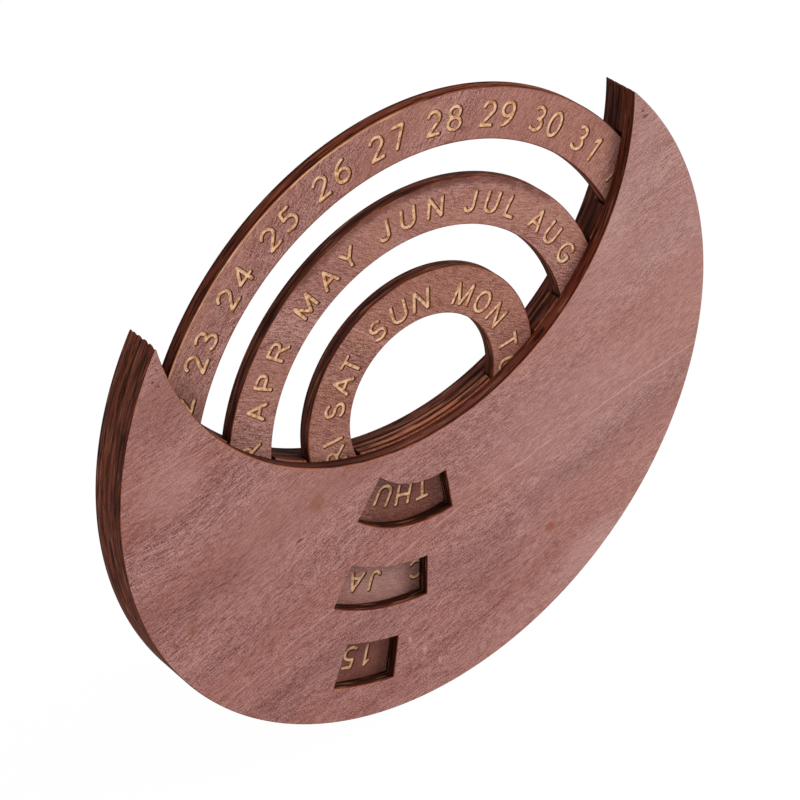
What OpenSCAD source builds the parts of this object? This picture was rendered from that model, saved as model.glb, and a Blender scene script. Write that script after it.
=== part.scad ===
// Perpetual desk calendar.
// Three closed rings, for the date, the month and the weekday, turn in the middle sheet of a
// crescent-shaped case. The case is a front plate, a back plate and the four spacers between
// them, all cut from sheet. A window in the front plate shows one mark of each ring.
// The case stands on its rim with the front towards -Y, so X is its width and Z its height.

/* [Case] */
// Diameter of the round outline
case_d = 160; // [150:1:200]
// Thickness of the front plate
front_t = 3; // [2:0.5:5]
// Thickness of the back plate
back_t = 3; // [2:0.5:5]
// Width of the rim spacer, outside the date ring
rim_w = 7.8; // [5:0.1:10]
// Width of the web between the date ring and the month ring
outer_web_w = 6.7; // [4:0.1:9]
// Width of the web between the month ring and the weekday ring
inner_web_w = 7.9; // [4:0.1:9]

/* [Crescent cut] */
// How far the bottom of the cut lies below the centre of the rings
cut_dip = 8.2; // [5:0.1:11]
// Angle from straight up to each tip of the crescent
tip_angle = 51.8; // [40:0.1:60]

/* [Rings] */
// Thickness of the three rings
ring_t = 3; // [2:0.5:5]
// Radial width of the date ring
date_w = 11.7; // [9:0.1:13]
// Radial width of the month ring
month_w = 11; // [9:0.1:13]
// Radial width of the weekday ring
weekday_w = 11.1; // [9:0.1:13]

/* [Fits] */
// Free space between the edge of a ring and the spacer beside it
edge_gap = 0.8; // [0.3:0.1:1.2]
// Free space between the face of a ring and the plate beside it
face_gap = 0.1; // [0.05:0.05:0.3]

/* [Windows] */
// Angle from straight down to the column of windows, towards the left of the front
column_lean = 24; // [0:1:45]
// Width of the date window as an angle about the centre
date_window = 14.3; // [11:0.1:18]
// Width of the month window as an angle about the centre
month_window = 31.3; // [24:0.1:36]
// Width of the weekday window as an angle about the centre
weekday_window = 54.8; // [40:0.1:60]
// How much further the month window leans than the others
month_lean = 1; // [-2:0.5:2]
// Strip of plate that covers the outer edge of each ring in its window
window_lip = 0.4; // [0:0.1:2]
// Height above the centre at which the straight sides of every window would meet
side_focus = 6; // [0:1:10]

/* [Hidden] */
$fn = 180;

case_r = case_d / 2;
middle_t = ring_t + 2 * face_gap;
case_t = front_t + middle_t + back_t;

// Where each layer starts, from the front to the back
front_y = -case_t / 2;
middle_y = front_y + front_t;
ring_y = middle_y + face_gap;
back_y = middle_y + middle_t;

// Radii from the rim inwards
date_out_r = case_r - rim_w - edge_gap;
date_in_r = date_out_r - date_w;
month_out_r = date_in_r - outer_web_w - 2 * edge_gap;
month_in_r = month_out_r - month_w;
weekday_out_r = month_in_r - inner_web_w - 2 * edge_gap;
weekday_in_r = weekday_out_r - weekday_w;

// The cut is the circle that passes through both tips and the bottom of the dip
cut_rise = (case_r * case_r - cut_dip * cut_dip) / (2 * (cut_dip + case_r * cos(tip_angle)));
cut_r = cut_rise + cut_dip;

plate_colour = [0.64, 0.45, 0.43];
spacer_colour = [0.33, 0.19, 0.15];
ring_colour = [0.60, 0.41, 0.39];

// Stands a flat outline upright, from depth y to depth y + t
module sheet(y, t)
    translate([0, y + t, case_r])
        rotate([90, 0, 0])
            linear_extrude(t)
                children();

// The band between two radii about the centre of the rings
module band(inner_r, outer_r)
    difference() {
        circle(outer_r);
        circle(inner_r);
    }

module crescent_cut()
    translate([0, cut_rise])
        circle(cut_r);

// A point at radius r, turned from straight down towards the left
function on_ring(r, lean) = [-r * sin(lean), -r * cos(lean)];

// A point this far from "from", on the line through "to"
function along(from, to, reach) = from + reach * (to - from) / norm(to - from);

// The part of a ring's face that shows through its window
module window(inner_r, outer_r, lean, width) {
    middle_r = (inner_r + outer_r) / 2;
    focus = [0, side_focus];
    reach = 2 * outer_r + side_focus;
    intersection() {
        band(inner_r, outer_r - window_lip);
        polygon([
            focus,
            along(focus, on_ring(middle_r, lean + width / 2), reach),
            along(focus, on_ring(middle_r, lean - width / 2), reach)
        ]);
    }
}

module front_plate()
    color(plate_colour)
        sheet(front_y, front_t)
            difference() {
                circle(case_r);
                crescent_cut();
                window(date_in_r, date_out_r, column_lean, date_window);
                window(month_in_r, month_out_r, column_lean + month_lean, month_window);
                window(weekday_in_r, weekday_out_r, column_lean, weekday_window);
            }

module back_plate()
    color(plate_colour)
        sheet(back_y, back_t)
            difference() {
                circle(case_r);
                crescent_cut();
            }

// A piece of the middle sheet, cut off flush with both plates
module spacer(inner_r, outer_r)
    color(spacer_colour)
        sheet(middle_y, middle_t)
            difference() {
                circle(outer_r);
                if (inner_r > 0) circle(inner_r);
                crescent_cut();
            }

module rim_spacer() spacer(date_out_r + edge_gap, case_r);
module outer_web() spacer(month_out_r + edge_gap, date_in_r - edge_gap);
module inner_web() spacer(weekday_out_r + edge_gap, month_in_r - edge_gap);
module core_spacer() spacer(0, weekday_in_r - edge_gap);

module ring(inner_r, outer_r)
    color(ring_colour)
        sheet(ring_y, ring_t)
            band(inner_r, outer_r);

module date_ring() ring(date_in_r, date_out_r);
module month_ring() ring(month_in_r, month_out_r);
module weekday_ring() ring(weekday_in_r, weekday_out_r);

front_plate();
back_plate();
rim_spacer();
outer_web();
inner_web();
core_spacer();
date_ring();
month_ring();
weekday_ring();
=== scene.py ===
from math import cos, hypot, pi, radians, sin, tau

import bmesh
import bpy
from mathutils import Matrix, Vector


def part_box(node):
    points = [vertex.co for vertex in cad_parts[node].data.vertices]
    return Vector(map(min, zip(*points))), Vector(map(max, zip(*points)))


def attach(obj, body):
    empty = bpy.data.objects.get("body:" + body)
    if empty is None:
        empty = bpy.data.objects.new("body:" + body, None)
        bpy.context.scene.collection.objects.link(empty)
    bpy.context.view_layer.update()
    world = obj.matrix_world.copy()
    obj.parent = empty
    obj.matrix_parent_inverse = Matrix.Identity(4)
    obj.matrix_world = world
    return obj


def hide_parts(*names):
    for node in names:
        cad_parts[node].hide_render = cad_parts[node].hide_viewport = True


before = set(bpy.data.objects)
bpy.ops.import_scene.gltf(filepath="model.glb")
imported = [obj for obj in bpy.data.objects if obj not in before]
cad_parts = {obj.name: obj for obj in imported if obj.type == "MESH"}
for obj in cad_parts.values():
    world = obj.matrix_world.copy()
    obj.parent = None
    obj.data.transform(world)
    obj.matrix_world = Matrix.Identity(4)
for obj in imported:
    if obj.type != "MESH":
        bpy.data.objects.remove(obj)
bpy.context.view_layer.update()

scene = bpy.context.scene
scene.view_settings.view_transform = "Standard"
mm = 0.001
print("frame loaded:", len(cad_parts), "nodes")


def radiiOf(node):
    # smallest and largest distance of a round node from the common centre, in mm
    reach = [hypot(v.co.x, v.co.z - centre.z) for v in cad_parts[node].data.vertices]
    return min(reach) / mm, max(reach) / mm


def depthsOf(node):
    # where a node begins and ends from front to back, in mm
    low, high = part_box(node)
    return low[1] / mm, high[1] / mm


sheetLook = {
    "centreHeight": 80.0,   # mm, the common centre above the lowest point of the rim
    "cutDip": 8.2,          # bottom of the crescent cut below that centre
    "tipAngle": 51.8,       # degrees from straight up to a tip
    "middleSlip": 0.45,     # mm, how much higher the cut of the middle sheet was glued in
    "backSlip": 0.35,       # and the cut of the back plate
    "rounding": 0.14,       # mm, how far sanding has broken the sharp edges
    "edgeAngle": 40,        # degrees, edges sharper than this are broken
    "smoothAngle": 14,      # and edges flatter than this are shaded smooth
    "roundSteps": 300,      # facets round a full circle
    "flatShare": 0.97,      # a face that looks this much to the front or back is flat
    "wallShare": 0.2,       # and one that looks there less than this is a cut wall
    "toolReach": 9.0,       # mm that a cutting tool reaches before and behind the middle
}
centre = Vector((0, 0, sheetLook["centreHeight"] * mm))
discRadius = radiiOf("back_plate")[1]
cutRise = (discRadius ** 2 - sheetLook["cutDip"] ** 2) / (
    2 * (sheetLook["cutDip"] + discRadius * cos(radians(sheetLook["tipAngle"]))))
cutRadius = cutRise + sheetLook["cutDip"]


def srgb(red, green, blue):
    # an eight-bit screen colour as the linear colour that sockets take
    linear = [c / 12.92 if c <= 0.04045 else ((c + 0.055) / 1.055) ** 2.4
              for c in (red / 255, green / 255, blue / 255)]
    return (*linear, 1.0)


def addNode(tree, kind, settings=None, **sockets):
    node = tree.nodes.new("ShaderNode" + kind)
    for name, value in (settings or {}).items():
        setattr(node, name, value)
    for name, value in sockets.items():
        socket = node.inputs[int(name[1:]) if name[1:].isdigit() else name]
        plug(tree, value, socket)
    return node


def plug(tree, value, socket):
    if isinstance(value, bpy.types.NodeSocket):
        tree.links.new(value, socket)
    else:
        socket.default_value = value


def calc(tree, operation, a, b=0.0, c=0.0, clamp=False):
    node = addNode(tree, "Math", {"operation": operation, "use_clamp": clamp}, _0=a, _1=b, _2=c)
    return node.outputs[0]


def sway(tree, tone, value, share, clamp=False):
    # the tone, moved by the swing of a noise about its middle
    return calc(tree, "MULTIPLY_ADD", calc(tree, "SUBTRACT", value, 0.5), share, tone, clamp)


def vectorCalc(tree, operation, a, b=(0, 0, 0)):
    return addNode(tree, "VectorMath", {"operation": operation}, _0=a, _1=b).outputs[0]


def lengthOf(tree, vector):
    # in mm
    node = addNode(tree, "VectorMath", {"operation": "LENGTH"}, _0=vector)
    return calc(tree, "DIVIDE", node.outputs["Value"], mm)


def dot(tree, a, b):
    return addNode(tree, "VectorMath", {"operation": "DOT_PRODUCT"}, _0=a, _1=b).outputs["Value"]


def coordinate(tree, vector, axis):
    return addNode(tree, "SeparateXYZ", None, Vector=vector).outputs[axis]


def fade(tree, value, low, high, start=0.0, end=1.0):
    # a soft step from start, at low, to end, at high
    node = addNode(tree, "MapRange", {"interpolation_type": "SMOOTHSTEP"},
                   _0=value, _1=low, _2=high, _3=start, _4=end)
    return node.outputs[0]


def fadeAlong(tree, place, axis, low, high, end=1.0):
    # a soft step from 0 to end between two places in mm along an axis
    return fade(tree, coordinate(tree, place, axis), low * mm, high * mm, 0.0, end)


def blend(tree, factor, a, b, mode="MIX"):
    node = addNode(tree, "Mix", {"data_type": "RGBA", "blend_type": mode}, _0=factor, _6=a, _7=b)
    return node.outputs[2]


def stain(tree, colour, mask, amount, shade):
    return blend(tree, calc(tree, "MULTIPLY", mask, amount), colour, shade)


def noise(tree, vector, stretch, detail=2.0, roughness=0.5):
    # stretch is in cycles per mm, one number or one for each axis
    if isinstance(stretch, float):
        stretch = (stretch,) * 3
    scaled = vectorCalc(tree, "MULTIPLY", vector, tuple(s / mm for s in stretch))
    node = addNode(tree, "TexNoise", None, Vector=scaled, Scale=1.0, Detail=detail, Roughness=roughness)
    return node.outputs["Fac"]


def newGroup(name, outputs, **inputs):
    # each takes the place as Vector, then its other inputs with the values they start from
    tree = bpy.data.node_groups.new(name, "ShaderNodeTree")
    tree.interface.new_socket("Vector", in_out="INPUT", socket_type="NodeSocketVector")
    for label, value in inputs.items():
        kind = {3: "Vector", 4: "Color"}[len(value)] if isinstance(value, tuple) else "Float"
        socket = tree.interface.new_socket(label, in_out="INPUT", socket_type="NodeSocket" + kind)
        socket.default_value = value
    for label in outputs:
        kind = "Color" if label == "Color" else "Float"
        tree.interface.new_socket(label, in_out="OUTPUT", socket_type="NodeSocket" + kind)
    return tree, tree.nodes.new("NodeGroupInput").outputs, tree.nodes.new("NodeGroupOutput").inputs


def useGroup(tree, group, **values):
    node = tree.nodes.new("ShaderNodeGroup")
    node.node_tree = group
    for name, value in values.items():
        plug(tree, value, node.inputs[name])
    return node.outputs


def newMaterial(name):
    material = bpy.data.materials.new(name)
    material.use_nodes = True
    tree = material.node_tree
    shader = tree.nodes["Principled BSDF"]
    place = tree.nodes.new("ShaderNodeTexCoord").outputs["Object"]
    return material, tree, shader, place


def dress(tree, shader, colour, finish, height=None):
    # finish is the roughness, the shine and, for a height, the bump and its depth in mm
    tree.links.new(colour, shader.inputs["Base Color"])
    shader.inputs["Roughness"].default_value = finish[0]
    shader.inputs["Specular IOR Level"].default_value = finish[1]
    if height is not None:
        bump = addNode(tree, "Bump", None, Strength=finish[2], Distance=finish[3] * mm, Height=height)
        tree.links.new(bump.outputs[0], shader.inputs["Normal"])


grainLook = {
    "bend": 11.0,        # mm, how far the grain wanders off its line
    "streak": 0.32,      # share of the streaks in the tone, beside the broad bands
    "middle": 0.16,      # shares of the fibres, from coarse to fine
    "fine": 1.35,
    "speck": 1.25,
    "patch": 0.45,       # strength of the browner patches
    "poreDark": 0.34,
    "porePale": 0.24,
}


def buildWoodGrain():
    # stained veneer: broad bands, streaks, fine fibres, short dark pores and pale flecks
    tree, given, out = newGroup(
        "woodGrain", ("Color", "Height"), Angle=0.0, Shift=(0, 0, 0), Dark=(0, 0, 0, 1),
        Light=(1, 1, 1, 1), Warm=(1, 1, 1, 1), Bands=1.0, Fibre=1.0, Pores=1.0)
    turned = addNode(tree, "VectorRotate", {"rotation_type": "Y_AXIS"},
                     Vector=given["Vector"], Angle=given["Angle"]).outputs[0]
    spot = vectorCalc(tree, "ADD", turned, given["Shift"])
    # a slow waviness bends the grain a little off its line
    drop = sway(tree, 0.0, noise(tree, spot, (0.016, 0.0, 0.022), 1.0), grainLook["bend"] * mm)
    wavy = vectorCalc(tree, "ADD", spot, addNode(tree, "CombineXYZ", None, Z=drop).outputs[0])
    broad = noise(tree, wavy, (0.008, 0.02, 0.12))
    streak = noise(tree, wavy, (0.05, 0.1, 0.62), 3.0, 0.6)
    fine = noise(tree, wavy, (0.5, 0.8, 3.9), 1.0, 0.6)
    middle = noise(tree, wavy, (0.16, 0.3, 1.5), 1.0, 0.6)
    speck = noise(tree, spot, (2.6, 2.6, 3.4), 0.0)
    tone = sway(tree, 0.5, broad, given["Bands"])
    tone = sway(tree, tone, streak, calc(tree, "MULTIPLY", given["Bands"], grainLook["streak"]))
    for layer, name in ((middle, "middle"), (fine, "fine"), (speck, "speck")):
        share = calc(tree, "MULTIPLY", given["Fibre"], grainLook[name])
        tone = sway(tree, tone, layer, share, name == "speck")
    colour = blend(tree, tone, given["Dark"], given["Light"])
    patch = fade(tree, noise(tree, wavy, (0.007, 0.0, 0.045)), 0.42, 0.62)
    colour = stain(tree, colour, patch, grainLook["patch"], given["Warm"])
    pore = noise(tree, wavy, (0.6, 0.8, 3.6), 0.0)
    darkest, palest = (calc(tree, "MULTIPLY", given["Pores"], grainLook[name])
                       for name in ("poreDark", "porePale"))
    dark = calc(tree, "MULTIPLY", fade(tree, pore, 0.58, 0.74), darkest)
    pale = calc(tree, "MULTIPLY", fade(tree, pore, 0.42, 0.26), palest)
    colour = blend(tree, dark, colour, given["Dark"])
    colour = blend(tree, pale, colour, given["Light"])
    tree.links.new(colour, out["Color"])
    height = calc(tree, "MULTIPLY_ADD", fine, 0.6, calc(tree, "MULTIPLY", speck, 0.4))
    tree.links.new(calc(tree, "SUBTRACT", height, calc(tree, "MULTIPLY", dark, 1.2)), out["Height"])
    return tree


def buildGrowthLine():
    # one growth ring that crosses a plate as a slow curve: a pale line with a darker band under it
    tree, given, out = newGroup(
        "growthLine", ("Pale", "Shade"), Height=0.0, Slope=0.0, Curve=0.0, Width=0.3)
    x, z = (calc(tree, "DIVIDE", coordinate(tree, given["Vector"], axis), mm) for axis in "XZ")
    bow = calc(tree, "MULTIPLY_ADD", given["Curve"], x, given["Slope"])
    line = calc(tree, "MULTIPLY_ADD", x, bow, given["Height"])
    line = sway(tree, line, noise(tree, given["Vector"], (0.06, 0.0, 0.02), 3.0, 0.55), 3.4)
    gap = calc(tree, "SUBTRACT", line, z)
    fading = fade(tree, noise(tree, given["Vector"], (0.09, 0.0, 0.09), 3.0, 0.6), 0.26, 0.50)
    thin = fade(tree, calc(tree, "ABSOLUTE", gap), 0.0, given["Width"], 1.0, 0.0)
    tree.links.new(calc(tree, "MULTIPLY", thin, fading), out["Pale"])
    under = calc(tree, "MULTIPLY", fade(tree, gap, 0.0, 0.5), fade(tree, gap, 0.6, 4.5, 1.0, 0.0))
    tree.links.new(under, out["Shade"])
    return tree


def buildCutEdge():
    # laser-cut plywood: how deep a point lies in its sheet, and how sooty it is
    tree, given, out = newGroup(
        "cutEdge", ("Depth", "Soot", "Streak", "Line", "Glint", "Height"),
        Front=0.0, Thickness=3.0, Shift=0.0)
    along = addNode(tree, "CombineXYZ", None, Y=given["Shift"]).outputs[0]
    spot = vectorCalc(tree, "ADD", given["Vector"], along)
    depth = calc(tree, "DIVIDE", coordinate(tree, given["Vector"], "Y"), mm)
    share = calc(tree, "DIVIDE", calc(tree, "SUBTRACT", depth, given["Front"]), given["Thickness"])
    tree.links.new(sway(tree, share, noise(tree, spot, 0.18), 0.07), out["Depth"])
    soot = noise(tree, spot, (0.07, 0.35, 0.07), 3.0, 0.6)
    streak = noise(tree, spot, (0.06, 2.3, 0.06), 2.0, 0.65)
    tree.links.new(fade(tree, streak, 0.32, 0.68), out["Streak"])
    hair = noise(tree, spot, (0.14, 1.9, 0.14), 1.0)
    tree.links.new(fade(tree, hair, 0.56, 0.66), out["Line"])
    tree.links.new(fade(tree, hair, 0.40, 0.30), out["Glint"])
    grit = noise(tree, spot, (1.4, 3.0, 1.4), 2.0, 0.6)
    dirt = calc(tree, "MULTIPLY_ADD", grit, 0.55, calc(tree, "MULTIPLY", soot, 0.75))
    tree.links.new(fade(tree, dirt, 0.50, 0.85), out["Soot"])
    tree.links.new(calc(tree, "MULTIPLY_ADD", soot, 0.6, grit), out["Height"])
    return tree


def buildSpot():
    # 1 inside a small ragged blot, 0 outside it
    tree, given, out = newGroup(
        "ragSpot", ("Mask",), Center=(0, 0, 0), Radius=1.0, Stretch=(1, 1, 1))
    offset = vectorCalc(tree, "SUBTRACT", given["Vector"], given["Center"])
    reach = lengthOf(tree, vectorCalc(tree, "MULTIPLY", offset, given["Stretch"]))
    ragged = calc(tree, "MULTIPLY_ADD", noise(tree, given["Vector"], 0.9), 0.9, 0.55)
    share = calc(tree, "DIVIDE", reach, calc(tree, "MULTIPLY", given["Radius"], ragged))
    tree.links.new(fade(tree, share, 0.35, 1.1, 1.0, 0.0), out["Mask"])
    return tree


def buildEdgeTrace():
    # a ragged line along one circle about the y axis, strongest on the side that Toward points to
    tree, given, out = newGroup(
        "edgeTrace", ("Mask",), Center=(0, 0, 0), Radius=1.0, Width=1.0, Toward=(0, 0, 1),
        Reach=-2.0, Gaps=0.5)
    offset = vectorCalc(tree, "SUBTRACT", given["Vector"], given["Center"])
    flat = vectorCalc(tree, "MULTIPLY", offset, (1, 0, 1))
    gap = calc(tree, "ABSOLUTE", calc(tree, "SUBTRACT", lengthOf(tree, flat), given["Radius"]))
    ragged = calc(tree, "MULTIPLY_ADD", noise(tree, given["Vector"], 0.5, 3.0, 0.6), 1.4, 0.3)
    share = calc(tree, "DIVIDE", gap, calc(tree, "MULTIPLY", given["Width"], ragged))
    line = fade(tree, share, 0.3, 1.0, 1.0, 0.0)
    holes = fade(tree, noise(tree, given["Vector"], 0.13, 3.0, 0.6), 0.40, 0.60)
    kept = calc(tree, "MULTIPLY_ADD", calc(tree, "SUBTRACT", holes, 1.0), given["Gaps"], 1.0)
    side = dot(tree, vectorCalc(tree, "NORMALIZE", flat), given["Toward"])
    near = fade(tree, calc(tree, "SUBTRACT", side, given["Reach"]), 0.0, 0.06)
    tree.links.new(calc(tree, "MULTIPLY", calc(tree, "MULTIPLY", line, kept), near), out["Mask"])
    return tree


woodGrain = buildWoodGrain()
growthLine = buildGrowthLine()
cutEdge = buildCutEdge()
ragSpot = buildSpot()
edgeTrace = buildEdgeTrace()


veneerLook = {
    "dark": (106, 53, 46),       # stained veneer, the darkest streaks
    "light": (202, 153, 145),    # and the palest ones
    "warm": (164, 104, 88),      # browner patches
    "pale": (210, 178, 170),     # the pale growth lines
    "even": (157, 107, 99),      # what the figure fades to under the painted sheen
    "lineShade": 0.30,           # strength of the growth lines' darker side
    "linePale": 0.5,
    "finish": (0.6, 0.2, 0.4, 0.018),
}


def veneer(name, node, look):
    material, tree, shader, place = newMaterial(name)
    faceY = depthsOf(node)[0]
    dark, light, warm = (srgb(*(c * t for c, t in zip(veneerLook[shade], look.get("tint", (1, 1, 1)))))
                         for shade in ("dark", "light", "warm"))
    grain = useGroup(tree, woodGrain, Vector=place, Angle=radians(look["angle"]), Shift=look["shift"],
                     Dark=dark, Light=light, Warm=warm, Bands=look["bands"], Fibre=look["fibre"],
                     Pores=look["pores"])
    colour = grain["Color"]
    for height, slope, curve, width, amount in look.get("lines", ()):
        ring = useGroup(tree, growthLine, Vector=place, Height=height, Slope=slope, Curve=curve,
                        Width=width)
        colour = stain(tree, colour, ring["Shade"], veneerLook["lineShade"] * amount, warm)
        pale = srgb(*veneerLook["pale"])
        colour = stain(tree, colour, ring["Pale"], veneerLook["linePale"] * amount, pale)
    for height, slope, width, tint, amount in look.get("bars", ()):
        bar = useGroup(tree, growthLine, Vector=place, Height=height, Slope=slope, Width=width)
        colour = stain(tree, colour, bar["Pale"], amount, srgb(*tint))
    if "paintedLight" in look:
        # painted light and painted sheen: the face is made brighter and its figure quieter towards one
        # side
        toward, low, high = look["paintedLight"]
        side = dot(tree, vectorCalc(tree, "SUBTRACT", place, centre), toward)
        share = fade(tree, side, -discRadius * mm, discRadius * mm)
        paintedSheen = calc(tree, "MULTIPLY", share, share)
        colour = stain(tree, colour, paintedSheen, look["paintedSheen"], srgb(*veneerLook["even"]))
        colour = blend(tree, 1.0, colour, blend(tree, share, (*low, 1), (*high, 1)), "MULTIPLY")
    # spots: stains and marks; on the rings some are painted shade in the windows and beside the cut walls
    for x, z, radius, stretch, tint, amount in look.get("spots", ()):
        blot = useGroup(tree, ragSpot, Vector=place, Center=(x * mm, faceY * mm, z * mm),
                        Radius=radius, Stretch=stretch)
        colour = stain(tree, colour, blot["Mask"], amount, srgb(*tint))
    for rise, radius, width, toward, reach, gaps, tint, amount in look.get("traces", ()):
        trace = useGroup(tree, edgeTrace, Vector=place, Center=(0, 0, centre.z + rise * mm),
                         Radius=radius, Width=width, Toward=toward, Reach=reach, Gaps=gaps)
        colour = stain(tree, colour, trace["Mask"], amount, srgb(*tint))
    dress(tree, shader, colour, veneerLook["finish"], grain["Height"])
    return material


edgeLook = {
    "cutGrime": 0.95,              # grime on a cut wall, where the round outside has 1
    "windowGrime": 0.6,
    "ember": srgb(132, 66, 42),    # colour of the paler streaks
    "glow": 0.38,                  # and their strength
    "coal": srgb(28, 12, 9),       # colour of what is charred
    "charAndShade": 0.38,                  # strength of the darker streaks
    "line": 0.8,                   # of the thin dark lines along the plies
    "soot": 0.42,                  # and of the loose soot
    "pale": srgb(190, 130, 100),   # thin bright fibres
    "glint": 0.36,
    "outside": (0.5, 0.3),         # mm inside the rim, where the round outside's plies begin
    "flush": srgb(136, 58, 34),    # colour of the redder right half of the front cut
    # axis, where it begins and ends in mm, and its full strength
    "red": ("X", 20.0, 38.0, 0.6),
    "hornShade": ("Z", 88.0, 112.0, 0.34),   # painted shade: the high ends of the cut are darkened
    "left": ("X", -7.0, -18.0, 0.58),    # and it is darker towards its left side
    "finish": (0.85, 0.06, 0.4, 0.06),
}
# colours across a cut sheet: share of the thickness from its front, then red, green and blue
edgePlies = {
    "front": [(0, 104, 40, 18), (0.07, 84, 20, 8), (0.18, 88, 24, 12), (0.24, 146, 92, 76),
              (0.34, 136, 82, 68), (0.46, 126, 74, 62), (0.58, 144, 88, 74), (0.67, 100, 36, 22),
              (0.86, 94, 30, 18), (0.95, 128, 66, 50), (1, 120, 60, 44)],
    # window walls: burnt wood, partly real and darkened further as painted shade of the narrow windows
    "window": [(0, 122, 58, 36), (0.09, 88, 37, 26), (0.24, 50, 20, 15), (0.38, 22, 9, 7),
               (0.58, 17, 7, 6), (0.7, 30, 13, 10), (0.84, 17, 7, 5), (1, 9, 4, 3)],
    "frontRim": [(0, 140, 66, 34), (0.08, 118, 60, 46), (0.22, 104, 56, 46), (0.4, 112, 68, 58),
                 (0.55, 96, 52, 46), (0.66, 92, 48, 42), (0.8, 112, 66, 56), (0.92, 116, 64, 50),
                 (1, 70, 34, 26)],
    "core_spacer": [(0.02, 16, 5, 2), (0.17, 22, 7, 3), (0.25, 196, 118, 88), (0.37, 222, 144, 110),
                    (0.48, 196, 118, 88), (0.56, 46, 14, 7), (0.68, 50, 17, 10), (0.8, 160, 102, 80),
                    (0.91, 190, 134, 114), (0.97, 90, 40, 26), (1, 30, 8, 4)],
    "inner_web": [(0.02, 20, 6, 3), (0.15, 24, 7, 3), (0.24, 122, 64, 54), (0.42, 110, 56, 46),
                  (0.52, 48, 17, 10), (0.64, 44, 15, 9), (0.76, 96, 52, 40), (0.88, 172, 120, 104),
                  (0.95, 92, 42, 30), (1, 26, 7, 3)],
    "outer_web": [(0.02, 110, 42, 28), (0.12, 104, 44, 30), (0.26, 88, 40, 32), (0.44, 70, 36, 34),
                  (0.6, 52, 24, 18), (0.7, 56, 26, 20), (0.88, 104, 58, 50), (0.95, 66, 30, 24),
                  (1, 34, 14, 10)],
    "rim_spacer": [(0, 92, 40, 26), (0.12, 120, 58, 36), (0.22, 150, 82, 56), (0.3, 140, 74, 52),
                   (0.38, 92, 42, 34), (0.52, 62, 34, 31), (0.66, 66, 36, 32), (0.8, 96, 50, 42),
                   (0.92, 92, 54, 47), (1, 70, 38, 33)],
    "rim": [(0, 96, 50, 40), (0.1, 128, 74, 60), (0.24, 142, 86, 70), (0.36, 120, 68, 54),
            (0.48, 88, 46, 38), (0.6, 82, 42, 34), (0.74, 124, 70, 52), (0.86, 142, 82, 62),
            (1, 118, 66, 54)],
    "back_plate": [(0.05, 50, 18, 10), (0.24, 58, 22, 14), (0.34, 96, 58, 50), (0.44, 110, 72, 64),
                   (0.58, 110, 68, 60), (0.7, 104, 58, 50), (0.82, 92, 44, 36), (0.92, 70, 28, 22),
                   (1, 46, 18, 14)],
    "backRim": [(0, 140, 88, 70), (0.08, 120, 66, 54), (0.22, 96, 50, 40), (0.34, 112, 64, 52),
                (0.54, 122, 74, 62), (0.74, 118, 70, 58), (0.88, 92, 48, 40), (1, 50, 22, 18)],
    "date_ring": [(0, 118, 54, 30), (0.06, 66, 16, 10), (0.2, 70, 20, 12), (0.3, 140, 70, 48),
                  (0.46, 128, 62, 44), (0.6, 148, 78, 54), (0.76, 116, 54, 38), (0.86, 42, 16, 12),
                  (1, 28, 10, 8)],
    "ring": [(0, 112, 52, 28), (0.07, 86, 42, 30), (0.22, 104, 62, 50), (0.34, 70, 35, 28),
             (0.5, 62, 31, 26), (0.62, 96, 52, 40), (0.78, 102, 60, 50), (0.9, 62, 31, 26),
             (1, 40, 18, 15)],
}


def plyRamp(tree, depth, plies):
    ramp = addNode(tree, "ValToRGB", None, Fac=depth)
    stops = ramp.color_ramp.elements
    while len(stops) < len(plies):
        stops.new(0.5)
    for stop, (share, *colour) in zip(stops, plies):
        stop.position = share
        stop.color = srgb(*colour)
    return ramp.outputs["Color"]


def burntEdge(name, node, plies, shift=0.0, rimPlies=None):
    # a shift in mm gives a sheet streaks of its own
    material, tree, shader, place = newMaterial(name)
    look = edgeLook
    low, high = depthsOf(node)
    burnt = useGroup(tree, cutEdge, Vector=place, Front=low, Thickness=high - low, Shift=shift * mm)
    colour = plyRamp(tree, burnt["Depth"], edgePlies[plies])
    grime = look["windowGrime"] if plies == "window" else look["cutGrime"]
    if plies == "front":
        # the right half of the front cut came out redder
        colour = blend(tree, fadeAlong(tree, place, *look["red"]), colour, look["flush"])
    if rimPlies:
        # the round outside shows other plies than the crescent cut, and more grime
        flat = vectorCalc(tree, "MULTIPLY", vectorCalc(tree, "SUBTRACT", place, centre), (1, 0, 1))
        start, full = (discRadius - gap for gap in look["outside"])
        outside = fade(tree, lengthOf(tree, flat), start, full)
        colour = blend(tree, outside, colour, plyRamp(tree, burnt["Depth"], edgePlies[rimPlies]))
        grime = calc(tree, "MULTIPLY_ADD", outside, 1 - look["cutGrime"], look["cutGrime"])
    streak = calc(tree, "MULTIPLY", burnt["Streak"], grime)
    dark = calc(tree, "MULTIPLY", calc(tree, "SUBTRACT", 1.0, burnt["Streak"]), grime)
    colour = stain(tree, colour, streak, look["glow"], look["ember"])
    colour = stain(tree, colour, dark, look["charAndShade"], look["coal"])
    colour = stain(tree, colour, burnt["Line"], look["line"], look["coal"])
    colour = stain(tree, colour, burnt["Glint"], look["glint"], look["pale"])
    if rimPlies:
        # painted shade: the crescent cut darkens towards its high ends; it is also darker towards its
        # left side
        charAndShade = calc(tree, "MAXIMUM", *(fadeAlong(tree, place, *look[name]) for name in ("hornShade", "left")))
        colour = stain(tree, colour, charAndShade, calc(tree, "SUBTRACT", 1.0, outside), look["coal"])
    soot = calc(tree, "MULTIPLY", burnt["Soot"], grime)
    colour = stain(tree, colour, soot, look["soot"], look["coal"])
    dress(tree, shader, colour, look["finish"], burnt["Height"])
    return material


scorchLook = {
    "dark": srgb(78, 24, 12),
    "light": srgb(148, 74, 40),
    "right": ("X", 25.0, 40.0, 0.6),     # painted shade: the edge of the right horn is darkened
    "finish": (0.75, 0.1),
}


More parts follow.
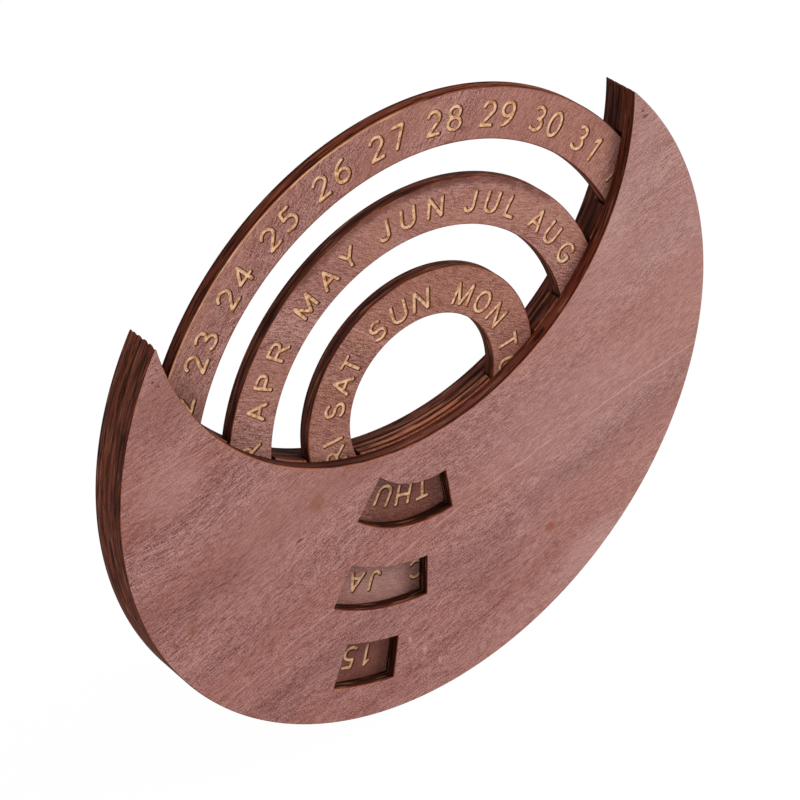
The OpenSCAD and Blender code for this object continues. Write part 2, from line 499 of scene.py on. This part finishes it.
def scorchedRim(name):
    # the thin broken edge between a face and a cut wall
    material, tree, shader, place = newMaterial(name)
    look = scorchLook
    patch = fade(tree, noise(tree, place, 0.12, 3.0, 0.6), 0.38, 0.62)
    colour = blend(tree, patch, look["dark"], look["light"])
    # painted shade: darker towards the high end of the right horn
    high = fadeAlong(tree, place, *edgeLook["hornShade"][:3])
    colour = stain(tree, colour, high, fadeAlong(tree, place, *look["right"]), edgeLook["coal"])
    dress(tree, shader, colour, look["finish"])
    return material


engravingLook = {
    "depth": 0.26,                   # mm below the face of the ring
    "stroke": 1.12,                  # mm, width of every stroke at the face
    "slope": 0.20,                   # mm, how far the foot of its walls slopes in
    "overrun": 0.38,                 # how far a stroke runs past its last point, in stroke widths
    "floor": srgb(250, 206, 164),    # pale wood under the stain
    "singed": srgb(190, 122, 76),    # where the burning went deeper
    "wall": srgb(122, 62, 34),
    "burnt": srgb(76, 36, 20),       # the darker parts of its walls
    "clearance": 0.5,                # mm that the cutting tool stands out of the face
    "endRounding": 0.38,             # how far the ends of a stroke are rounded, in stroke widths
    "endAngle": 75,                  # degrees, upright edges sharper than this are ends
    "footAngle": 60,
    "floorFinish": (0.75, 0.2, 0.5, 0.06),
    "wallFinish": (0.7, 0.15),
}


def engravedFloor():
    material, tree, shader, place = newMaterial("engraved floor")
    patch = fade(tree, noise(tree, place, 0.8, 3.0, 0.65), 0.42, 0.66)
    colour = blend(tree, patch, engravingLook["floor"], engravingLook["singed"])
    ridges = noise(tree, place, 1.9, 2.0, 0.6)
    colour = blend(tree, fade(tree, ridges, 0.5, 0.8, 0.0, 0.35), colour, engravingLook["singed"])
    dress(tree, shader, colour, engravingLook["floorFinish"], ridges)
    return material


def engravedWall():
    material, tree, shader, place = newMaterial("engraved wall")
    patch = fade(tree, noise(tree, place, 0.8), 0.35, 0.65)
    colour = blend(tree, patch, engravingLook["burnt"], engravingLook["wall"])
    dress(tree, shader, colour, engravingLook["wallFinish"])
    return material


def toObject(name, bm, materials=()):
    mesh = bpy.data.meshes.new(name)
    bm.to_mesh(mesh)
    bm.free()
    for material in materials:
        mesh.materials.append(material)
    piece = bpy.data.objects.new(name, mesh)
    scene.collection.objects.link(piece)
    return piece


def bake(piece):
    # the evaluated mesh takes the place of mesh and modifiers
    bpy.context.view_layer.update()
    deps = bpy.context.evaluated_depsgraph_get()
    mesh = bpy.data.meshes.new_from_object(piece.evaluated_get(deps))
    old = piece.data
    piece.modifiers.clear()
    piece.data = mesh
    bpy.data.meshes.remove(old)
    return piece


def carve(piece, tool, operation="DIFFERENCE"):
    cut = piece.modifiers.new("carve", "BOOLEAN")
    cut.operation = operation
    cut.solver = "MANIFOLD"
    cut.object = tool
    bake(piece)
    bpy.data.objects.remove(tool)


def pushOut(bm, way):
    # the flat faces of bm, made a solid that reaches along way
    grown = bmesh.ops.extrude_face_region(bm, geom=bm.faces[:])["geom"]
    moved = [g for g in grown if isinstance(g, bmesh.types.BMVert)]
    bmesh.ops.translate(bm, verts=moved, vec=way)
    bmesh.ops.recalc_face_normals(bm, faces=bm.faces)
    return bm


def flatDisc(radius, frontY, backY, rise=0.0):
    bm = bmesh.new()
    bmesh.ops.create_circle(bm, cap_ends=True, radius=radius * mm, segments=sheetLook["roundSteps"])
    bmesh.ops.rotate(bm, verts=bm.verts, cent=(0, 0, 0), matrix=Matrix.Rotation(pi / 2, 3, "X"))
    bmesh.ops.translate(bm, verts=bm.verts, vec=(0, frontY * mm, centre.z + rise * mm))
    return pushOut(bm, (0, (backY - frontY) * mm, 0))


def roundBand(innerRadius, outerRadius, frontY, backY, rounding=0.0):
    # a rectangle between two radii, its corners rounded, spun once round the centre
    bm = bmesh.new()
    corners = [bm.verts.new((r * mm, y * mm, 0)) for r, y in (
        (innerRadius, frontY), (outerRadius, frontY), (outerRadius, backY), (innerRadius, backY))]
    bm.faces.new(corners)
    if rounding:
        bmesh.ops.bevel(bm, geom=corners, offset=rounding * mm, offset_type="OFFSET", segments=2,
                        profile=0.5, affect="VERTICES", material=-1)
    bmesh.ops.delete(bm, geom=bm.faces[:], context="FACES_ONLY")
    bmesh.ops.spin(bm, geom=bm.verts[:] + bm.edges[:], cent=(0, 0, 0), axis=(0, 1, 0), angle=tau,
                   steps=sheetLook["roundSteps"], use_merge=True)
    bmesh.ops.remove_doubles(bm, verts=bm.verts, dist=1e-7)
    bmesh.ops.translate(bm, verts=bm.verts, vec=centre)
    bmesh.ops.recalc_face_normals(bm, faces=bm.faces)
    return bm


def flatPrism(outline, frontY, backY):
    bm = bmesh.new()
    bm.faces.new([bm.verts.new((x * mm, frontY * mm, centre.z + z * mm)) for x, z in outline])
    return pushOut(bm, (0, (backY - frontY) * mm, 0))


def faceSlot(normal):
    # slot 0 is a flat face, 1 a cut wall, 2 the broken edge between them
    if abs(normal.y) > sheetLook["flatShare"]:
        return 0
    return 1 if abs(normal.y) < sheetLook["wallShare"] else 2


def finishPiece(piece, materials, body, node, keep=()):
    mesh = piece.data
    for index, material in enumerate(materials):
        if index < len(mesh.materials):
            mesh.materials[index] = material
        else:
            mesh.materials.append(material)
    for face in mesh.polygons:
        if face.material_index not in keep:
            face.material_index = faceSlot(face.normal)
        face.use_smooth = True
    mesh.set_sharp_from_angle(angle=radians(sheetLook["smoothAngle"]))
    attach(piece, body)
    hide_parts(node)
    print("made", piece.name, len(mesh.polygons), "faces")


def breakEdges(piece):
    soft = piece.modifiers.new("soft edges", "BEVEL")
    soft.limit_method = "ANGLE"
    soft.angle_limit = radians(sheetLook["edgeAngle"])
    soft.width = sheetLook["rounding"] * mm
    soft.segments = 2
    soft.profile = 0.5
    soft.use_clamp_overlap = False
    soft.material = -1
    bake(piece)


windowLook = {
    "lip": 0.4,        # mm of plate over the outer edge of each ring
    "focus": 6.0,      # mm above the centre, where the straight sides would meet
    "margin": 3.0,     # mm, a wall further than this from the rim and the cut is a window's
    # ring, lean to the left and width, both in degrees
    "windows": [("weekday_ring", 24.0, 54.8), ("month_ring", 25.0, 31.3), ("date_ring", 24.0, 14.3)],
}


def cutCrescent(piece, slip=0.0):
    reach = sheetLook["toolReach"]
    carve(piece, toObject("cut tool", flatDisc(cutRadius, -reach, reach, cutRise + slip)))


def windowTool(node, lean, width):
    innerRadius, outerRadius = radiiOf(node)
    front = -sheetLook["toolReach"]
    tool = toObject("window tool", roundBand(innerRadius, outerRadius - windowLook["lip"], front, 0))
    middle = (innerRadius + outerRadius) / 2
    wedge = [(0, windowLook["focus"])]
    for side in (width / 2, -width / 2):
        angle = radians(lean + side)
        way = Vector((-middle * sin(angle), -middle * cos(angle) - windowLook["focus"])).normalized()
        reach = 2 * outerRadius + windowLook["focus"]
        wedge.append((way.x * reach, windowLook["focus"] + way.y * reach))
    carve(tool, toObject("wedge", flatPrism(wedge, front - 1, 1)), "INTERSECT")
    return tool


rimScorch = scorchedRim("scorched edge")
frontLook = {
    "angle": 10.5, "shift": (0, 0, 0), "bands": 0.8, "fibre": 1.25, "pores": 1,
    # growth lines: height in mm, slope, curve, width in mm, amount
    "lines": [(47.3, 0.165, -0.0009, 0.45, 0.8), (100.4, 0, 0, 0.30, 0.6)],
    # broad bands: height in mm, slope, width in mm, colour, amount
    "bars": [(33, 0.165, 9, (118, 72, 66), 0.27),
             (77, 0.165, 9, (120, 76, 70), 0.22), (4, 0.165, 8, (196, 150, 142), 0.25)],
    # painted light: which way the face brightens, and its colour factors at the two ends
    "paintedLight": ((0.71, 0, 0.71), (0.98, 0.90, 0.89), (1.12, 1.26, 1.28)),
    # how strongly the painted sheen quiets the figure on the lit side
    "paintedSheen": 0.45,
    # stains: x and z in mm, radius, stretch, colour, amount
    "spots": [(34, 58, 17, (0.45, 0.2, 1), (204, 160, 152), 0.2),
              (-42, 73, 12, (0.6, 0.2, 1), (200, 154, 146), 0.16),
              (-66, 95, 10, (1, 0.2, 1), (200, 154, 146), 0.28),
              (-63, 115, 11, (1, 0.2, 1), (120, 74, 68), 0.26),
              (42, 13, 11, (0.7, 0.2, 1), (204, 160, 152), 0.28),
              (52, 97, 9, (1, 0.2, 1), (206, 162, 154), 0.22),
              (9, 25, 9, (0.7, 0.2, 1), (116, 70, 64), 0.22),
              (-32.7, 71.3, 2.8, (1, 1, 1), (140, 78, 52), 0.45),
              (-67.8, 57.8, 2.4, (1, 1, 1), (140, 78, 52), 0.4),
              (28.5, 27.1, 1.8, (1, 1, 1), (150, 72, 44), 0.6),
              (-38.5, 64.3, 0.8, (0.6, 1, 1.6), (84, 40, 34), 0.8),
              (-63.8, 124.4, 0.38, (1, 1, 1), (66, 32, 26), 0.9),
              (-65.2, 122, 0.38, (1, 1, 1), (66, 32, 26), 0.9),
              (-64, 120.4, 0.36, (1, 1, 1), (66, 32, 26), 0.9),
              (64.9, 123.6, 0.4, (1, 1, 1), (72, 36, 28), 0.9),
              (65.5, 122, 0.8, (0.7, 1, 1.4), (92, 50, 40), 0.8),
              (-11, 14.1, 1.3, (1.6, 1, 0.8), (214, 176, 168), 0.4),
              (-14.6, 19.6, 1.1, (1.6, 1, 0.7), (214, 176, 168), 0.4),
              (-7.3, 8.4, 1.2, (1.6, 1, 0.8), (214, 176, 168), 0.4)],
    # traces along a circle: height above the centre, radius and width in mm, side, reach, gaps,
    # colour, amount
    "traces": [(cutRise, cutRadius, 0.7, (0, 0, -1), -2, 0.9, (178, 116, 80), 0.4),
               (0, discRadius, 0.35, (0.5, 0, 0.87), 0, 0.6, (214, 178, 168), 0.5)],
}
backLook = {"angle": -8, "shift": (0.31, 0, 0.12), "bands": 0.8, "fibre": 1.15, "pores": 1.0}
spacerLook = {"angle": 60, "shift": (0.6, 0, 0.3), "bands": 0.7, "fibre": 1.1, "pores": 1.0,
              "tint": (1.0, 0.93, 0.88)}
tipLook = {
    "reach": 9.0,        # mm, half the length of the tool that breaks the tips
    "over": 1.0,         # mm that it stands out before and behind the case
    "past": 4.0,         # and past the tip
    "rightShare": 0.65,  # how ragged the right tip is beside the left one
    # share of the thickness from the front, and mm broken off there
    "steps": [(0.0, 0.45), (0.05, 1.05), (0.12, 0.80), (0.14, 0.30), (0.23, 0.10), (0.27, 0.75),
              (0.33, 0.60), (0.36, 0.05), (0.46, 0.10), (0.50, 0.72), (0.56, 0.45), (0.60, 0.02),
              (0.68, 0.10), (0.72, 0.65), (0.78, 0.30), (0.84, 0.02), (0.90, 0.55), (0.95, 0.10),
              (1.0, 0.30)],
}


def breakTips(plate):
    # the thin ends of the crescent are ragged, a little differently in every ply
    angle = radians(sheetLook["tipAngle"])
    top = Vector((sin(angle), 0, cos(angle))) * discRadius * mm
    front, back = depthsOf("front_plate")[0], depthsOf("back_plate")[1]
    first, last = front - tipLook["over"], back + tipLook["over"]
    steps = tipLook["steps"]
    for side, share in ((-1, 1.0), (1, tipLook["rightShare"])):
        tip = centre + Vector((side * top.x, 0, top.z))
        # the tip points along the middle between its two edges
        outer = Vector((-side * top.z, 0, top.x)).normalized()
        inner = Vector((-side * (top.z - cutRise * mm), 0, top.x)).normalized()
        way = (outer + inner).normalized()
        across = Vector((way.z, 0, -way.x)) * tipLook["reach"] * mm
        outline = [(first, steps[0][1])]
        outline += [(front + depth * (back - front), loss * share) for depth, loss in steps]
        outline += [(last, steps[-1][1]), (last, -tipLook["past"]), (first, -tipLook["past"])]
        bm = bmesh.new()
        bm.faces.new([bm.verts.new(tip - way * loss * mm + Vector((0, y * mm, 0)) - across)
                      for y, loss in outline])
        carve(plate, toObject("tip tool", pushOut(bm, across * 2)))


def buildFront():
    frontY, backY = depthsOf("front_plate")
    plate = toObject("frontSheet", flatDisc(discRadius, frontY, backY))
    cutCrescent(plate)
    for window in windowLook["windows"]:
        carve(plate, windowTool(*window))
    breakEdges(plate)
    breakTips(plate)
    for face in plate.data.polygons:
        middle = face.center - centre
        toRim = abs(middle.length - discRadius * mm)
        toCut = abs(hypot(middle.x, middle.z - cutRise * mm) - cutRadius * mm)
        if faceSlot(face.normal) == 1 and min(toRim, toCut) > windowLook["margin"] * mm:
            face.material_index = 3
    finishPiece(plate, [veneer("front veneer", "front_plate", frontLook),
                        burntEdge("front cut edge", "front_plate", "front", 0, "frontRim"),
                        rimScorch, burntEdge("window wall", "front_plate", "window")],
                "case", "front_plate", keep=(3,))


def buildBack():
    frontY, backY = depthsOf("back_plate")
    plate = toObject("backSheet", flatDisc(discRadius, frontY, backY))
    cutCrescent(plate, sheetLook["backSlip"])
    breakEdges(plate)
    breakTips(plate)
    finishPiece(plate, [veneer("back veneer", "back_plate", backLook),
                        burntEdge("back cut edge", "back_plate", "back_plate", 40, "backRim"), rimScorch],
                "case", "back_plate")


def buildSpacer(name, node):
    frontY, backY = depthsOf(node)
    innerRadius, outerRadius = radiiOf(node)
    if node == "core_spacer":
        strip = toObject(name, flatDisc(outerRadius, frontY, backY))
    else:
        strip = toObject(name, roundBand(innerRadius, outerRadius, frontY, backY))
    cutCrescent(strip, sheetLook["middleSlip"])
    breakEdges(strip)
    if node == "rim_spacer":
        breakTips(strip)
    finishPiece(strip, [veneer(name + " veneer", node, spacerLook),
                        burntEdge(name + " cut edge", node, node, 80, "rim"), rimScorch],
                "case", node)


buildFront()
buildBack()
for name, node in (("rimStrip", "rim_spacer"), ("outerStrip", "outer_web"),
                   ("innerStrip", "inner_web"), ("coreStrip", "core_spacer")):
    buildSpacer(name, node)


def arc(x, y, across, up, start, end):
    # points on an arc about (x, y), from the start to the end angle in degrees
    steps = max(3, round(abs(end - start) / 13))
    return [(x + across * cos(radians(start + (end - start) * k / steps)),
             y + up * sin(radians(start + (end - start) * k / steps))) for k in range(steps + 1)]


# centre lines of the strokes: x from 0 to 1 across the mark, y from 0 at the foot to 1 at the
# top, and before them the width of the mark with its height as 1
stem = [(0, 0), (0, 1)]
farStem = [(1, 0), (1, 1)]
glyphs = {
    "0": (0.62, [arc(0.5, 0.5, 0.5, 0.5, 0, 360)]),
    "1": (0.22, [[(0, 0.78), (1, 1)], [(1, 1), (1, 0)]]),
    "2": (0.645, [arc(0.46, 0.72, 0.46, 0.28, 165, -32) + [(0.03, 0.02)], [(0, 0), (0.90, 0)]]),
    "3": (0.58, [arc(0.41, 0.76, 0.46, 0.24, 140, -90), arc(0.41, 0.26, 0.57, 0.26, 90, -140)]),
    "4": (0.69, [[(0.70, 1), (0.70, 0)], [(0.70, 1), (0, 0.30)], [(0, 0.30), (1, 0.30)]]),
    "5": (0.60, [[(0.90, 1), (0.17, 1)], [(0.17, 1), (0.12, 0.60)],
                 [(0.12, 0.60)] + arc(0.38, 0.31, 0.60, 0.31, 100, -130)]),
    "6": (0.62, [arc(0.52, 0.30, 0.48, 0.30, 0, 360), arc(0.90, 0.36, 0.87, 0.64, 180, 96)]),
    "7": (0.52, [[(0, 1), (1, 1)], [(1, 1), (0.30, 0)]]),
    "8": (0.64, [arc(0.5, 0.76, 0.42, 0.24, 0, 360), arc(0.5, 0.26, 0.5, 0.26, 0, 360)]),
    "9": (0.63, [arc(0.48, 0.70, 0.48, 0.30, 0, 360), arc(0.10, 0.64, 0.87, 0.64, 0, -84)]),
    "A": (0.78, [[(0, 0), (0.5, 1)], [(0.5, 1), (1, 0)], [(0.17, 0.33), (0.83, 0.33)]]),
    "B": (0.62, [stem, [(0, 1)] + arc(0.52, 0.76, 0.38, 0.24, 90, -90) + [(0, 0.52)],
                 [(0, 0.52)] + arc(0.57, 0.26, 0.43, 0.26, 90, -90) + [(0, 0)]]),
    "C": (0.76, [arc(0.54, 0.5, 0.54, 0.5, 42, 318)]),
    "D": (0.70, [stem, [(0, 1)] + arc(0.43, 0.5, 0.57, 0.5, 90, -90) + [(0, 0)]]),
    "E": (0.50, [stem, [(0, 1), (1, 1)], [(0, 0.52), (0.88, 0.52)], [(0, 0), (1, 0)]]),
    "F": (0.48, [stem, [(0, 1), (1, 1)], [(0, 0.50), (0.88, 0.50)]]),
    "G": (0.86, [arc(0.51, 0.5, 0.51, 0.5, 48, 320) + [(0.98, 0.44)], [(0.98, 0.44), (0.56, 0.44)]]),
    "H": (0.70, [stem, farStem, [(0, 0.52), (1, 0.52)]]),
    "I": (0.01, [[(0.5, 0), (0.5, 1)]]),
    "J": (0.50, [[(1, 1)] + arc(0.5, 0.25, 0.5, 0.25, 0, -165)]),
    "L": (0.57, [[(0, 1), (0, 0)], [(0, 0), (1, 0)]]),
    "M": (0.90, [stem, [(0, 1), (0.5, 0.02)], [(0.5, 0.02), (1, 1)], [(1, 1), (1, 0)]]),
    "N": (0.77, [stem, [(0, 1), (1, 0)], farStem]),
    "O": (0.81, [arc(0.5, 0.5, 0.5, 0.5, 0, 360)]),
    "P": (0.64, [stem, [(0, 1)] + arc(0.56, 0.73, 0.44, 0.27, 90, -90) + [(0, 0.46)]]),
    "R": (0.75, [stem, [(0, 1)] + arc(0.55, 0.74, 0.40, 0.26, 90, -90) + [(0, 0.48)],
                 [(0.50, 0.48), (1, 0)]]),
    "S": (0.66, [arc(0.51, 0.74, 0.44, 0.26, 30, 265)[:-1] + arc(0.49, 0.25, 0.49, 0.25, 82, -150)]),
    "T": (0.64, [[(0, 1), (1, 1)], [(0.5, 1), (0.5, 0)]]),
    "U": (0.73, [[(0, 1)] + arc(0.5, 0.34, 0.5, 0.34, 180, 360) + [(1, 1)]]),
    "V": (0.80, [[(0, 1), (0.5, 0)], [(0.5, 0), (1, 1)]]),
    "W": (1.05, [[(0, 1), (0.25, 0)], [(0.25, 0), (0.5, 1)], [(0.5, 1), (0.75, 0)],
                 [(0.75, 0), (1, 1)]]),
    "Y": (0.72, [[(0, 1), (0.5, 0.44)], [(1, 1), (0.5, 0.44)], [(0.5, 0.44), (0.5, 0)]]),
}

# angles of the numbers in degrees: the middle of the 31, one step between two-figure numbers, the 9,
# one step between single figures, and half the space between the two figures of a number
dateStep = {"last": 38.15, "pair": 12.975, "nine": 321.5, "single": 8.25, "halfPair": 2.38}


def dateMarks():
    marks = []
    for day in range(31, 9, -1):
        middle = dateStep["last"] + (31 - day) * dateStep["pair"]
        tens, ones = str(day)
        marks.append((tens, middle + dateStep["halfPair"]))
        marks.append((ones, middle - dateStep["halfPair"]))
    # the single figures stand closer, from 9 back round to 1
    for day in range(9, 0, -1):
        marks.append((str(day), dateStep["nine"] + (9 - day) * dateStep["single"]))
    return marks


ringText = {
    # foot and top radius of the lettering in mm, then each mark with its angle in degrees,
    # anticlockwise from the right
    "month_ring": (42.8, 48.4, list(zip("APRMAYJUNJULAUGSEPOCTNOVDECJANFEBMAR", (
        155.2, 146.7, 137.8, 124.1, 114.9, 107.2, 95.1, 87, 77.8, 65.7, 57.7, 49.7,
        38, 30, 20.5, 7, -1.4, -9.8, -23.3, -31.6, -40.1, -53.6, -61.9, -70,
        -83.2, -91.8, -100.2, -115.2, -122.3, -130.5, -143.8, -152, -161,
        -174.3, -183.5, -192.6)))),
    "weekday_ring": (21.35, 27.2, list(zip("SATSUNMONTUEWEDTHUFRI", (
        158.7, 144.7, 133.5, 111.8, 97.2, 83, 54.8, 39, 24.1, 2.9, -11, -23.5,
        -47, -62, -76.2, -98, -110.6, -124.4, -160.5, -173, -183)))),
    "date_ring": (62.15, 68.45, dateMarks()),
}


def strokeWalls(marks, foot, top, order, faceY):
    # stroke number "order" of every mark on a ring, as upright walls along its centre line
    look = engravingLook
    bm = bmesh.new()
    size = top - foot - look["stroke"]
    base = foot + look["stroke"] / 2
    overrun = look["overrun"] * look["stroke"]
    for mark, angle in marks:
        width, strokes = glyphs[mark]
        if order >= len(strokes):
            continue
        turn = radians(angle)
        points = [Vector(((x - 0.5) * width * size, base + y * size)) for x, y in strokes[order]]
        closed = (points[0] - points[-1]).length < 1e-4
        if closed:
            points = points[:-1]
        else:
            first = points[0] + (points[0] - points[1]).normalized() * overrun
            last = points[-1] + (points[-1] - points[-2]).normalized() * overrun
            points = [first, *points[1:-1], last]
        line = []
        for across, reach in points:
            x = reach * cos(turn) + across * sin(turn)
            z = reach * sin(turn) - across * cos(turn)
            line.append(bm.verts.new((x * mm, (faceY - look["clearance"]) * mm, centre.z + z * mm)))
        for a, b in zip(line, line[1:] + line[:1] if closed else line[1:]):
            bm.edges.new((a, b))
    grown = bmesh.ops.extrude_edge_only(bm, edges=bm.edges[:])["geom"]
    moved = [g for g in grown if isinstance(g, bmesh.types.BMVert)]
    bmesh.ops.translate(bm, verts=moved, vec=(0, (look["clearance"] + look["depth"]) * mm, 0))
    return bm


def strokeTool(marks, foot, top, order, faceY, materials):
    look = engravingLook
    tool = toObject("stroke tool", strokeWalls(marks, foot, top, order, faceY), materials)
    thick = tool.modifiers.new("thick", "SOLIDIFY")
    thick.thickness = look["stroke"] * mm
    thick.offset = 0
    thick.use_even_offset = True
    bake(tool)
    bm = bmesh.new()
    bm.from_mesh(tool.data)
    bmesh.ops.remove_doubles(bm, verts=bm.verts, dist=1e-7)
    bmesh.ops.recalc_face_normals(bm, faces=bm.faces)
    ends = []
    for edge in bm.edges:
        upright = abs(edge.verts[0].co.y - edge.verts[1].co.y) > look["clearance"] * mm
        if upright and len(edge.link_faces) == 2 and edge.calc_face_angle() > radians(look["endAngle"]):
            ends.append(edge)
    bmesh.ops.bevel(bm, geom=ends, offset=look["stroke"] * look["endRounding"] * mm, segments=3,
                    profile=0.5, affect="EDGES", material=-1, clamp_overlap=False)
    floorY = faceY + look["depth"]
    feet = [e for e in bm.edges if e.calc_face_angle(0) > radians(look["footAngle"])
            and all(abs(v.co.y / mm - floorY) < 0.01 for v in e.verts)]
    bmesh.ops.bevel(bm, geom=feet, offset=look["slope"] * mm, segments=1, profile=0.5,
                    affect="EDGES", material=-1, clamp_overlap=False)
    for face in bm.faces:
        face.material_index = 4 if faceSlot(face.normal) else 3
    bm.to_mesh(tool.data)
    bm.free()
    return tool


floorWood = engravedFloor()
wallWood = engravedWall()


ringLook = {
    "date_ring": {
        "angle": 43, "shift": (0.11, 0, 0.21), "bands": 0.8, "fibre": 1.2, "pores": 1,
        "tint": (0.985, 0.97, 0.94),
        # painted shade: the first spot darkens the ring where the date window shows it, the second beside
        # the left cut edge
        "spots": [(-25, 19, 13, (1, 0.2, 1), (98, 42, 34), 0.65),
                  (-58.5, 109, 9, (1, 0.2, 1), (98, 42, 34), 0.4)],
        "traces": [(0, 71.25, 0.6, (-0.72, 0, 0.69), 0.62, 0.6, (234, 180, 134), 0.9),
                   (0, 71.4, 0.40, (0.72, 0, 0.69), 0.50, 0.4, (96, 46, 26), 0.8),
                   (0, 59.8, 0.35, (0, 0, 1), -2, 0.5, (104, 56, 40), 0.6)],
    },
    "month_ring": {
        "angle": -34, "shift": (0.42, 0, 0.05), "bands": 0.8, "fibre": 1.2, "pores": 1,
        "tint": (1, 1, 0.97),
        "lines": [(80, -0.55, 0, 0.35, 0.7)],
        "spots": [(-3.6, 123.7, 0.75, (1, 0.2, 1), (36, 12, 6), 1),
                  (-17, 38, 14, (1, 0.2, 1), (196, 152, 146), 0.35),
                  # painted shade: this spot darkens the ring beside the right wall of the month window
                  (-8, 35, 6.5, (1, 0.2, 1), (92, 44, 34), 0.45)],
        "traces": [(0, 51.4, 2.3, (0.17, 0, 0.98), 0.72, 0.35, (90, 46, 36), 0.85),
                   (0, 51.4, 0.35, (0, 0, 1), -2, 0.5, (96, 46, 26), 0.6),
                   (0, 40.4, 0.30, (0, 0, 1), -2, 0.5, (104, 56, 40), 0.5)],
    },
    "weekday_ring": {
        "angle": -40, "shift": (0.73, 0, 0.33), "bands": 0.8, "fibre": 1.2, "pores": 1,
        "tint": (0.965, 0.925, 0.86),
        "lines": [(88.7, -1.17, 0, 0.35, 0.7)],
        # painted shade: the first spot darkens the ring in the weekday window, the second beside the
        # plate's cut wall on the right
        "spots": [(-9, 55.5, 15, (1, 0.2, 1), (92, 38, 28), 0.65),
                  (26, 80, 8, (1, 0.2, 1), (92, 38, 28), 0.3)],
        "traces": [(0, 30.9, 0.5, (0, 0, 1), -2, 0.5, (120, 58, 34), 0.7),
                   (0, 19.8, 0.35, (0, 0, 1), -2, 0.5, (104, 56, 40), 0.5)],
    },
}


def buildRing(name, node, body):
    frontY, backY = depthsOf(node)
    innerRadius, outerRadius = radiiOf(node)
    look = ringLook[node]
    plies = node if node in edgePlies else "ring"
    materials = [veneer(name + " veneer", node, look),
                 burntEdge(name + " cut edge", node, plies, look["shift"][0] * 100),
                 rimScorch, floorWood, wallWood]
    ring = toObject(name, roundBand(innerRadius, outerRadius, frontY, backY,
                                    sheetLook["rounding"]), materials)
    foot, top, marks = ringText[node]
    for order in range(max(len(glyphs[mark][1]) for mark, angle in marks)):
        carve(ring, strokeTool(marks, foot, top, order, frontY, materials))
    finishPiece(ring, materials, body, node, keep=(3, 4))


for name in ("date", "month", "weekday"):
    buildRing(name + "Ring", name + "_ring", name + "_dial")


stageLook = {
    "size": 6.0,             # metres
    "floor": (0.86, 0.86, 0.86, 1.0),
    "roughness": 0.9,
    "shadowShare": 0.05,     # how much of the floor's own shading the camera sees
    "white": 1.025,
}
lampLook = {
    "sky": 0.37,
    # place in metres, size, power in watts
    "key": ((0.50, -0.30, 0.44), 0.42, 3.45),
    "fill": ((-1.05, -0.6, 0.65), 0.8, 2.3),
    "back": ((-0.35, 1.05, 0.25), 0.9, 2.8),
}


def seenShare(tree):
    # 1 for what the camera sees, straight or by a reflection or through glass
    path = tree.nodes.new("ShaderNodeLightPath").outputs
    seen = calc(tree, "MAXIMUM", path["Is Camera Ray"], path["Is Glossy Ray"])
    return calc(tree, "MAXIMUM", seen, path["Is Transmission Ray"])


def buildStage():
    bm = bmesh.new()
    bmesh.ops.create_grid(bm, x_segments=1, y_segments=1, size=stageLook["size"] / 2)
    floor = toObject("floor", bm)
    material, tree, shader, _ = newMaterial("pale floor")
    shader.inputs["Base Color"].default_value = stageLook["floor"]
    shader.inputs["Roughness"].default_value = stageLook["roughness"]
    white = addNode(tree, "Emission", None, Color=(1, 1, 1, 1), Strength=stageLook["white"]).outputs[0]
    share = calc(tree, "MULTIPLY", seenShare(tree), 1 - stageLook["shadowShare"])
    mixed = addNode(tree, "MixShader", None, _0=share, _1=shader.outputs[0], _2=white).outputs[0]
    tree.links.new(mixed, tree.nodes["Material Output"].inputs["Surface"])
    floor.data.materials.append(material)


def buildWorld():
    world = bpy.data.worlds.new("studio")
    scene.world = world
    world.use_nodes = True
    tree = world.node_tree
    level = calc(tree, "MULTIPLY_ADD", seenShare(tree), 1 - lampLook["sky"], lampLook["sky"])
    plug(tree, (1, 1, 1, 1), tree.nodes["Background"].inputs["Color"])
    plug(tree, level, tree.nodes["Background"].inputs["Strength"])


def addLamp(name):
    place, size, power = lampLook[name]
    light = bpy.data.lights.new(name, "AREA")
    light.shape = "DISK"
    light.size = size
    light.energy = power
    lamp = bpy.data.objects.new(name, light)
    lamp.location = place
    lamp.rotation_euler = (Vector(place) - centre).to_track_quat("Z", "Y").to_euler()
    scene.collection.objects.link(lamp)


cameraLook = {
    "place": (-0.26497, -0.39736, 0.44400),
    "right": (0.7816, -0.6136, -0.1121),
    "up": (0.4472, 0.4259, 0.7865),
    "lens": 124.245,        # mm
    "sensor": 36.0,
}


def addCamera():
    data = bpy.data.cameras.new("camera")
    data.lens = cameraLook["lens"]
    data.sensor_width = cameraLook["sensor"]
    data.clip_start = 0.01
    camera = bpy.data.objects.new("camera", data)
    right = Vector(cameraLook["right"]).normalized()
    back = right.cross(Vector(cameraLook["up"])).normalized()
    up = back.cross(right)
    turn = Matrix((right, up, back)).transposed().to_4x4()
    camera.matrix_world = Matrix.Translation(cameraLook["place"]) @ turn
    scene.collection.objects.link(camera)
    scene.camera = camera


buildStage()
buildWorld()
for name in ("key", "fill", "back"):
    addLamp(name)
addCamera()
print("stage, lamps and camera placed")
